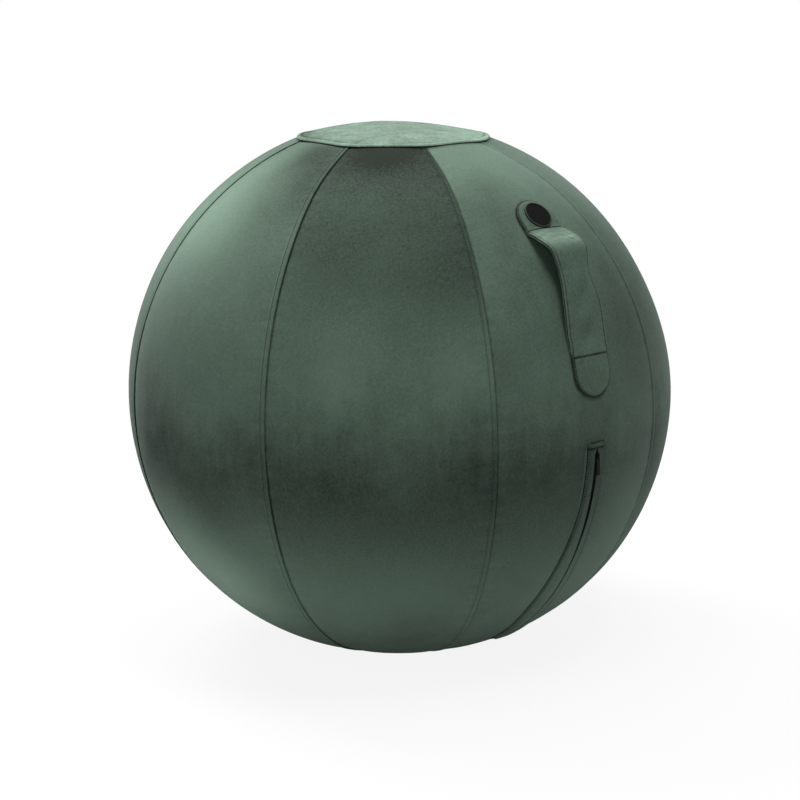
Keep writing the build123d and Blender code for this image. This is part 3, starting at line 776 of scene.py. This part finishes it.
def make_strap_layer(tip, line, start, end, name, level, tone, stitched, body_nodes):
    """Half of one layer of the strap, from the cut in the bow round its tab's end."""
    side, run, spine = tab_outline(tip)
    inset = np.array(LAYER_INSET)[:, None]
    share = inset / (STRAP_HALF / MM)
    flat_side = side[None, :] * (1 - share)
    flat_run = run[None, :] + (spine - run)[None, :] * share
    top = np.array(LAYER_SIDE)[:, None]
    puff = 0.25 * smooth(3.2, 14, inset) + 0.12 * smooth(0, 1.4, inset)
    groove = -0.55 * hump(inset - STRAP_STITCH, 0.4)
    cross = -0.8 * hump(flat_run - line, 0.9) * smooth(1.5, 2.5, inset)
    waves = 0.16 * ripple(flat_run, level + 3.0, (8.6, 13.2, 21.0)) * hump(inset - 4, 5)
    sag = 0.3 * ripple(flat_run + 0.7 * flat_side, 5.0, (38, 57)) * smooth(8, 24, inset)
    relief = (puff + (groove + cross) * stitched + waves + sag) * np.maximum(top, 0)
    sewn = sewn_share(tip, line, flat_run)
    lift = press_edge(level + top * LAYER_RISE + relief, inset, sewn)
    points = on_strap(flat_side, flat_run, lift)
    outside = np.maximum(top, 0) * stitched
    crease = 0.8 * hump(inset - STRAP_STITCH, 0.6) * outside
    crease = crease + 0.95 * hump(flat_run - line, 1.0) * outside * smooth(1.2, 2.2, inset)
    # Painted shadow: a dark outline round the sewn tab's edge where it lies on the cover
    tab_edge_shadow = hump(inset - 0.3, 1.15 + 0.9 * smooth(0, 14, flat_side))
    crease = crease + tab_edge_shadow * np.maximum(outside, 0.6 * stitched * (inset < 1.0)) * sewn
    # Painted shade where the two layers lie against each other near their edge
    shade_between_layers = np.maximum(-top if stitched else top, 0) * (1 - smooth(1.0, 2.5, inset))
    crease = crease + 0.8 * shade_between_layers
    # Painted highlight where the upper bow bends over, mottled by the blotches
    bend_highlight = hump(flat_run - UPPER_LINE - 20, 16) * (tip < STRAP_CUT)
    blotches = ripple(flat_side + 0.4 * flat_run, 2.0, (12, 19, 31))
    blotches = blotches * ripple(flat_run - 0.5 * flat_side, 5.0, (11, 17))
    nap = tone + sag / 3 + waves / 3.2 + 0.2 * hump(top, 0.6) * (1 - sewn)
    nap = nap + 0.34 * bend_highlight * (1 + 1.5 * blotches)
    spots = {"nap": nap, "crease": crease, "brush": 0.0, "banded": 0.0}
    piece = cloth_grid(name, points, spots, closed=True)
    mode("EDIT")
    bpy.ops.mesh.select_mode(type="EDGE")
    bpy.ops.mesh.select_all(action="DESELECT")
    bpy.ops.mesh.select_non_manifold(
        extend=False, use_wire=False, use_multi_face=False, use_non_contiguous=False, use_verts=False
    )
    bpy.ops.mesh.edge_face_add()
    bpy.ops.mesh.select_all(action="SELECT")
    bpy.ops.mesh.normals_make_consistent(inside=False)
    mode("OBJECT")
    bpy.ops.object.shade_smooth_by_angle(angle=math.radians(50))
    piece.data.materials.append(strap_velvet)
    if body_nodes:
        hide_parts(*body_nodes)
    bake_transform(piece)
    half_run = abs(STRAP_CUT - tip)
    half_run * MM


def make_strap():
    """The strap in two layers, each in two halves that meet in the bow, with their stitches."""
    foot = front(UPPER_STITCH, TAB_LIFT)
    axis = unit(front(LOWER_STITCH, TAB_LIFT) - foot)

    def along_axis(reach):
        at = foot + axis * reach
        return (0.0, -at[0] * MM, CENTRE + at[1] * MM)

    # Each end's tip and cross stitches, two reaches along the strap's axis, and its solids
    ends = (
        ("upper", UPPER_TIP, UPPER_LINE, 0.0, 16.0, ("handle_upper_tab", "handle_grip")),
        ("lower", LOWER_TIP, LOWER_LINE, 118.0, 88.0, ("handle_lower_tab", "handle_grip_lining")),
    )
    top = LAYER_LEVEL + LAYER_RISE - STITCH_SINK
    across = np.linspace(-CROSS_HALF, CROSS_HALF, 40)
    for end_name, tip, line, still, moved, nodes in ends:
        start, end = along_axis(still), along_axis(moved)
        layers = (
            (f"strap_{end_name}", LAYER_LEVEL, STRAP_TONE, 1, nodes),
            (f"strap_lining_{end_name}", -LAYER_LEVEL, LINING_TONE, 0, ()),
        )
        for layer in layers:
            make_strap_layer(tip, line, start, end, *layer)
        side, run, _ = tab_outline(tip, STRAP_STITCH)
        edge_top = press_edge(top, STRAP_STITCH, sewn_share(tip, line, run))
        edge_row = (f"strap_stitches_{end_name}", side, run, edge_top)
        cross_row = (f"strap_cross_stitches_{end_name}", across, np.full(len(across), line), top)
        for name, row_side, row_run, lift in (edge_row, cross_row):
            row = on_strap(row_side, row_run, lift)
            threads = stitch_row(name, row, off_strap(row_run), STRAP_STITCH_LENGTH)
            threads.data.materials.append(thread)
            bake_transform(threads)


make_strap()


# Badge

BADGE_RADIUS, BADGE_DEPTH = 0.017, 0.0017
BADGE_RING = (0.0157, 0.01705)
BADGE_SEAT = 0.0047  # the tab's face above the cover's
BADGE_SHIFT = 0.0036  # from the middle of the tab's round end towards the tip

# Steps in towards the badge's middle, each with its rise
BADGE_STEPS = [(0.0003, 0.0003), (0.0008, 0.0), (0.0004, -0.0006)] + 6 * [(0.0025, 0.0)]


def make_badge():
    """A plain dark disc with a thin raised ring, seated on the upper tab."""
    polar = UPPER_END + math.degrees((STRAP_HALF - BADGE_SHIFT) / BALL)
    bpy.ops.mesh.primitive_cylinder_add(
        vertices=96, radius=BADGE_RADIUS, depth=BADGE_DEPTH, end_fill_type="NGON"
    )
    piece = bpy.context.object
    piece.name = "badge_disc"
    pick_faces(piece, lambda face: face.normal.z > 0.9)
    for step, rise in BADGE_STEPS:
        bpy.ops.mesh.inset(thickness=step, depth=rise)
    mode("OBJECT")
    bpy.ops.object.shade_smooth_by_angle(angle=math.radians(35))
    mesh = piece.data
    sine, cosine = math.sin(math.radians(polar)), math.cos(math.radians(polar))
    along, up, outward = Vector((1, 0, 0)), Vector((0, cosine, sine)), Vector((0, -sine, cosine))
    height = BALL + BADGE_SEAT + BADGE_DEPTH / 2 - float(slack(polar, 0.0)) * MM
    seat = Vector((0, 0, CENTRE)) + outward * height
    rings = mesh.attributes.new("ring", "FLOAT", "POINT")
    for vertex in mesh.vertices:
        reach = math.hypot(vertex.co.x, vertex.co.y)
        on_ring = BADGE_RING[0] < reach < BADGE_RING[1] and vertex.co.z > 0.0008
        rings.data[vertex.index].value = 1.0 if on_ring else 0.0
        bowed = vertex.co.z - reach**2 / (2 * BALL)
        vertex.co = seat + along * vertex.co.x + up * vertex.co.y + outward * bowed
    mesh.update()
    disc = Finish("badge_plastic")
    grain = disc.noise(disc.place(), 700.0)
    wear = disc.noise(disc.place(), 160.0, 3.0, 0.6)
    face_colour = disc.mix(wear, srgb(9, 10, 10), srgb(17, 19, 18))
    material = disc.finish(
        Base_Color=disc.mix(disc.spot("ring"), face_colour, srgb(58, 62, 58)),
        Roughness=0.55 + 0.2 * wear,
        Specular_IOR_Level=0.07,
        Normal=disc.bump(grain, 0.12, 0.0003),
    )
    dress(piece, material, "ball", "badge_plastic", "badge")


make_badge()


# Zip

# A lip's section: reach from its fold, then share of the way to its outer edge, each with a height
LIP_FOLD = [
    (8.0, 1.25), (4.0, 1.3), (1.6, 1.36), (0.7, 1.45), (0.22, 1.7),
    (0.0, 2.15), (0.2, 2.65), (0.6, 2.95), (1.3, 3.1), (2.6, 3.15),
]
LIP_STITCH = 0.82
LIP_OUTER = [
    (0.45, 3.12), (0.54, 3.09), (0.62, 3.05), (0.67, 3.0), (0.72, 2.95),
    (0.76, 2.85), (0.79, 2.35), (LIP_STITCH, 2.25), (0.85, 2.3), (0.88, 2.55),
    (0.91, 2.5), (0.945, 2.2), (0.975, 1.6), (1.0, 0.55), (1.03, 0.3),
]
LIP_REST = 0.45  # height of a lip's ends, which are sewn down flat
LIP_LAP = 0.006


def make_welt(side):
    """A fabric lip over the zip: folded at the slit, stitched down along its outer edge."""
    sign = 1 if side == "right" else -1
    lap = math.degrees(LIP_LAP / BALL)
    polar = np.concatenate([
        np.linspace(ZIP_BOTTOM + lap, ZIP_BOTTOM, 6, endpoint=False),
        np.linspace(ZIP_BOTTOM, ZIP_TOP, 130, endpoint=False),
        np.linspace(ZIP_TOP, ZIP_TOP - lap, 7),
    ])[:, None]
    down = (polar - ZIP_TOP) / (ZIP_BOTTOM - ZIP_TOP)
    open_share = smooth(-0.012, 0.03, down) * (1 - smooth(0.97, 1.01, down))
    slit = 0.12 + open_share * (2.4 - 1.3 * smooth(0.12, 0.55, down))
    if side == "left":
        width = 12.5 + 10.5 * smooth(0.15, 0.70, down) - 6.0 * smooth(0.70, 1.0, down)
    else:
        width = 13.0 + 1.5 * smooth(0.2, 0.9, down)
    across, lift, crease = [], [], []
    for reach, height in LIP_FOLD:
        across.append(slit + reach)
        lift.append(np.full_like(slit, height))
        # Lighter along the top of the fold
        lighter_crest = -0.3 * hump(height - 2.65, 0.4)
        # Painted shade on the cloth turned under the fold, in the slit
        crease.append(np.full_like(slit, 0.55 if height < 2 else lighter_crest))
    folded = LIP_FOLD[-1][0]
    soft = smooth(0.22, 0.5, down) if side == "left" else 0.0 * down
    line = LIP_STITCH if side == "left" else 0.86 - 0.3 * smooth(0.05, 0.35, down)
    for share, height in LIP_OUTER:
        slope = 0.3 + 2.85 * (1 - smooth(0.35, 1.04, share))
        across.append(slit + folded + (width - slit - folded) * share)
        lift.append(height + (slope - height) * soft)
        # Darker at the stitch line, with painted shade at the outer edge and in the soft valley beside
        # the lower left lip
        sewn = 0.75 * hump(share - line, 0.05) * (1 - 0.7 * soft)
        sewn = sewn + 0.5 * smooth(0.97, 1.02, share)
        crease.append(sewn + 0.6 * hump(share - 1.0, 0.18) * soft)
    across, lift, crease = [np.concatenate(columns, 1) for columns in (across, lift, crease)]
    from_top, from_bottom = polar - (ZIP_TOP - lap), ZIP_BOTTOM + lap - polar
    ends = smooth(0, 0.35, from_top / lap) * smooth(0, 0.35, from_bottom / lap)
    run = np.radians(polar) * BALL / MM
    lift = LIP_REST + (lift - LIP_REST) * (0.15 + 0.85 * ends)
    lift = lift + 0.1 * ripple(run, 2.0 + sign, (9.5, 15.0)) * smooth(2, 8, across)
    bar = polar - ZIP_TOP + 0.12
    lift = lift - 0.5 * hump(bar, 0.12)
    crease = crease + 0.7 * hump(bar, 0.14)
    turn = np.degrees(sign * across * MM / ball_line(polar)[0])
    points = on_ball(polar, turn, lift * MM)
    spots = {"nap": 0.0, "crease": crease[:, ::sign], "brush": 0.0, "banded": 1.0}
    piece = cloth_grid(f"zip_lip_{side}", points[:, ::sign], spots)
    thicken(piece, LIP_CLOTH)
    dress(piece, cover_velvet, "ball", "velvet", f"zip_welt_{side}")
    column = len(LIP_FOLD) + [share for share, _ in LIP_OUTER].index(LIP_STITCH)
    row_polar, row_turn = polar[:, 0], turn[:, column]
    row = on_ball(row_polar, row_turn, lift[:, column] * MM + STITCH_LIFT)
    threads = stitch_row(f"zip_stitches_{side}", row, off_ball(row_polar, row_turn))
    dress(threads, thread, "ball", "velvet")


for lip_side in ("left", "right"):
    make_welt(lip_side)


# Places across the tapes and the guard, and their depths below the cover's face, in millimetres
TAPE_ACROSS, TAPE_DEPTH = [2.6, 5.0, 7.5, 10.2, 12.7], 0.75
GUARD_HALF, GUARD_DEPTH = 11, 3.35


def make_strip(name, across, depth, thickness):
    """A strip of tape along the zip, at places across it and a depth below the cover's face."""
    polar = np.linspace(ZIP_BOTTOM - 0.05, ZIP_TOP + 0.05, 110)[:, None]
    turn = np.degrees(across[None, :] * MM / ball_line(polar)[0])
    return thicken(cloth_grid(name, on_ball(polar, turn, -depth * MM)), thickness)


def make_tapes():
    """The zip's woven tapes under the lips, and a guard of the same weave behind its teeth."""
    woven = Finish("zip_tape_weave")
    at = woven.place()
    bands = {"Vector": at, "Scale": 420.0, "Distortion": 1.5}
    ribs = woven.node("ShaderNodeTexWave", {"bands_direction": "Z"}, bands)
    fibre = woven.noise(at, 1100.0)
    weave = woven.finish(
        Base_Color=woven.mix(ribs * 0.7 + fibre * 0.3, srgb(20, 25, 22), srgb(38, 46, 40)),
        Roughness=0.85,
        Normal=woven.bump(ribs, 0.5, 0.0004),
    )
    for side, sign in (("left", -1), ("right", 1)):
        across = sign * np.array(TAPE_ACROSS)[::sign]
        piece = make_strip(f"zip_ribbon_{side}", across, TAPE_DEPTH, TAPE_CLOTH)
        dress(piece, weave, "ball", "zip_tape", f"zip_tape_{side}")
    guard = make_strip("zip_guard", np.linspace(-GUARD_HALF, GUARD_HALF, 9), GUARD_DEPTH, GUARD_CLOTH)
    dress(guard, weave, "ball", "zip_tape")


make_tapes()


# Inner ball, which the cover hides

INNER_DEPTH = 4.6


def make_inner_ball():
    """The inflated ball inside the cover, with its rings of grip ribs and a moulding line."""
    polar = np.concatenate([np.linspace(180, 169, 8, endpoint=False), np.linspace(169, 0, 240)])
    turn = np.linspace(0, 360, 97)[None, :]
    rib = 0.45 * hump((polar % 6) - 3, 0.7) * smooth(24, 30, polar) * (1 - smooth(150, 156, polar))
    seam = 0.3 * hump(polar - 90, 0.5)
    lift = (rib + seam - INNER_DEPTH) * MM
    points = on_ball(polar[:, None], turn, lift[:, None])
    points[:, -1] = points[:, 0]
    points[0], points[-1] = points[0].mean(0), points[-1].mean(0)
    piece = cloth_grid("inflated_ball", points, closed=True)
    bpy.ops.object.shade_smooth()
    skin = Finish("ball_skin")
    at = skin.place()
    mottle = skin.noise(at, 40.0, 3.0, 0.6)
    fine = skin.noise(at, 600.0)
    material = skin.finish(
        Base_Color=skin.mix(mottle, srgb(98, 101, 104), srgb(116, 119, 122)),
        Roughness=0.45 + 0.15 * fine,
        Normal=skin.bump(fine, 0.15, 0.0004),
    )
    dress(piece, material, "ball", "ball_pvc", "inner_ball")


make_inner_ball()


# Base patch

BASE_STITCH = 59.5
BASE_EDGE = [57.6, 58.4, 59.0, BASE_STITCH, 60.0, 60.6, 61.6, 63.0, 64.2, 64.8, 65.0]


def make_base_patch():
    """The round patch that the ball stands on, sewn on with a ring of stitches."""
    reach = np.concatenate([np.linspace(0, 56, 24), BASE_EDGE])
    turn = np.linspace(0, 360, 129)[:, None]
    low = 0.25 - 0.2 * smooth(40, 56, reach) + 0.5 * hump(reach - BASE_STITCH, 0.6)
    low = low + 1.3 * smooth(63.2, 65.0, reach) ** 2
    points = around_axis(reach, turn, low) * MM
    points[-1] = points[0]
    piece = cloth_grid("base_patch_cloth", points[:, ::-1], closed=True)
    thicken(piece, COVER_CLOTH)
    sole = Finish("base_cloth")
    at = sole.place()
    even = {"Vector": at, "Scale": 210.0, "Randomness": 0.0}
    dots = sole.node("ShaderNodeTexVoronoi", {"feature": "F1"}, even, out="Distance")
    dot = (1.35 - dots * 4.5).atleast(0.0).atmost(1.0)
    fibre = sole.noise(at, 800.0)
    ground = sole.mix(fibre, srgb(24, 30, 26), srgb(40, 48, 42))
    material = sole.finish(
        Base_Color=sole.mix(dot, ground, srgb(16, 17, 17)),
        Roughness=0.9 - 0.35 * dot,
        Normal=sole.bump(dot * 0.7 + fibre * 0.3, 0.5, 0.0006),
    )
    dress(piece, material, "ball", "base_cloth", "base_patch")
    ring = points[:, np.argmin(abs(reach - BASE_STITCH))]
    normals = np.tile([0.0, 0.0, -1.0], (len(ring), 1))
    threads = stitch_row("base_stitches", ring + normals * PATCH_STITCH_LIFT, normals)
    dress(threads, thread, "ball", "base_cloth")


make_base_patch()


# Small hard parts keep their solids and get their finishes

def plastic(name, scale, detail, roughness, dark, light, depth):
    """Moulded plastic with a fine grain."""
    made = Finish(name)
    grain = made.noise(made.place(), scale, detail, roughness)
    return made.finish(
        Base_Color=made.mix(grain, dark, light),
        Roughness=0.4 + 0.15 * grain,
        Normal=made.bump(grain, 0.1, depth),
    )


def finish_hard_parts():
    """Black lacquered slider, pull and stops, moulded teeth, and the valve's soft plastic."""
    lacquer = Finish("black_lacquer")
    lighter_crest = lacquer.noise(lacquer.place(), 300.0, 4.0, 0.65)
    chips = (lighter_crest * 4.0 - 2.55).atleast(0.0).atmost(1.0)
    lacquer = lacquer.finish(
        Base_Color=lacquer.mix(chips * 0.2, srgb(9, 9, 9), srgb(60, 60, 58)),
        Roughness=0.48 + 0.18 * lighter_crest,
        Specular_IOR_Level=0.15,
        Normal=lacquer.bump(lighter_crest, 0.08, 0.0002),
    )
    teeth = plastic("zip_teeth_plastic", 900.0, 2.0, 0.5, srgb(14, 18, 16), srgb(26, 31, 28), 0.0002)
    valve = plastic(
        "valve_soft_plastic", 220.0, 3.0, 0.6, srgb(196, 197, 192), srgb(222, 222, 216), 0.0003
    )
    finishes = (
        (lacquer, ("zip_slider", "zip_pull", "zip_top_stop", "zip_bottom_stop")),
        (teeth, ("zip_teeth_left", "zip_teeth_right")),
        (valve, ("valve_seat", "valve_plug")),
    )
    for material, names in finishes:
        for name in names:
            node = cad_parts[name]
            node.data.materials.clear()
            node.data.materials.append(material)


finish_hard_parts()


# Stage, camera and lights

CAMERA_TURN = -40.9
CAMERA_RISE = 11.7
CAMERA_REACH = 2.44
CAMERA_ROLL = -1.28
CAMERA_LENS = 90.8
AIM_BELOW_CENTRE = 0.0147
WHITE = (1.0, 1.0, 1.0, 1.0)

# Soft boxes: turn from the camera's side, angle up, size in metres, power in watts
LIGHT_REACH = 2.6
LIGHTS = {
    "left_back_box": (-130, 55, (1.2, 1.2), 64),
    "right_front_box": (38, 60, (1.0, 1.0), 30),
    "left_front_box": (-35, 35, (1.1, 1.1), 12),
    "top_box": (0, 85, (1.3, 1.3), 29),
    "right_back_box": (140, 45, (1.1, 1.1), 4),
    "back_box": (180, 60, (1.4, 1.1), 14),
}


def around(turn, rise, reach):
    """A place round the ball: turned from the camera's side, raised by an angle."""
    turn = math.radians(CAMERA_TURN + turn)
    rise = math.radians(rise)
    level = reach * math.cos(rise)
    return Vector((level * math.sin(turn), -level * math.cos(turn), CENTRE + reach * math.sin(rise)))


def add_camera():
    """The camera at the photograph's place, with its slight roll."""
    data = bpy.data.cameras.new("camera")
    data.lens = CAMERA_LENS
    camera = bpy.data.objects.new("camera", data)
    bpy.context.scene.collection.objects.link(camera)
    camera.location = around(0, CAMERA_RISE, CAMERA_REACH)
    look = Vector((0, 0, CENTRE - AIM_BELOW_CENTRE)) - camera.location
    turn = look.to_track_quat("-Z", "Y").to_matrix()
    camera.rotation_euler = (turn @ Matrix.Rotation(math.radians(CAMERA_ROLL), 3, "Z")).to_euler()
    bpy.context.scene.camera = camera


def add_light(name, turn, rise, size, power):
    """A soft box that faces the ball."""
    data = bpy.data.lights.new(name, "AREA")
    data.shape = "RECTANGLE"
    data.size, data.size_y = size
    data.energy = power
    lamp = bpy.data.objects.new(name, data)
    bpy.context.scene.collection.objects.link(lamp)
    lamp.location = around(turn, rise, LIGHT_REACH)
    look = Vector((0, 0, CENTRE)) - lamp.location
    lamp.rotation_euler = look.to_track_quat("-Z", "Y").to_euler()


def add_floor():
    """A pale floor that shows white and keeps the ball's soft shadow."""
    bpy.ops.mesh.primitive_plane_add(size=24.0)
    floor = bpy.context.object
    floor.name = "floor"
    paint = Finish("floor_white")
    seen = paint.node("ShaderNodeLightPath", out="Is Camera Ray")
    for ray in ("Is Glossy Ray", "Is Transmission Ray"):
        seen = seen.atleast(paint.node("ShaderNodeLightPath", out=ray))
    matt = paint.node("ShaderNodeBsdfDiffuse", {}, {"Color": (0.82, 0.82, 0.82, 1.0)})
    white = paint.node("ShaderNodeEmission", {}, {"Color": WHITE, "Strength": 1.0})
    length = {"operation": "LENGTH"}
    apart = paint.node("ShaderNodeVectorMath", length, {0: paint.place()}, out="Value")
    far = ((apart - 0.7) * 1.2).atleast(0.0).atmost(1.0)
    share = seen * (0.89 + 0.11 * far)
    both = paint.node("ShaderNodeMixShader", {}, {0: share, 1: matt, 2: white})
    paint.node("ShaderNodeOutputMaterial", {}, {"Surface": both})
    floor.data.materials.append(paint.block)


def add_world():
    """Weak light from all round, and a white backdrop where the camera looks past the floor."""
    studio = Finish("studio", bpy.data.worlds)
    seen = studio.node("ShaderNodeLightPath", out="Is Camera Ray")
    soft = studio.node("ShaderNodeBackground", {}, {"Color": WHITE, "Strength": 0.06})
    white = studio.node("ShaderNodeBackground", {}, {"Color": WHITE, "Strength": 1.0})
    choose = studio.node("ShaderNodeMixShader", {}, {0: seen, 1: soft, 2: white})
    studio.node("ShaderNodeOutputWorld", {}, {"Surface": choose})
    bpy.context.scene.world = studio.block


add_camera()
for light_name, light in LIGHTS.items():
    add_light(light_name, *light)
add_floor()
add_world()

bpy.context.scene.view_settings.view_transform = "Standard"
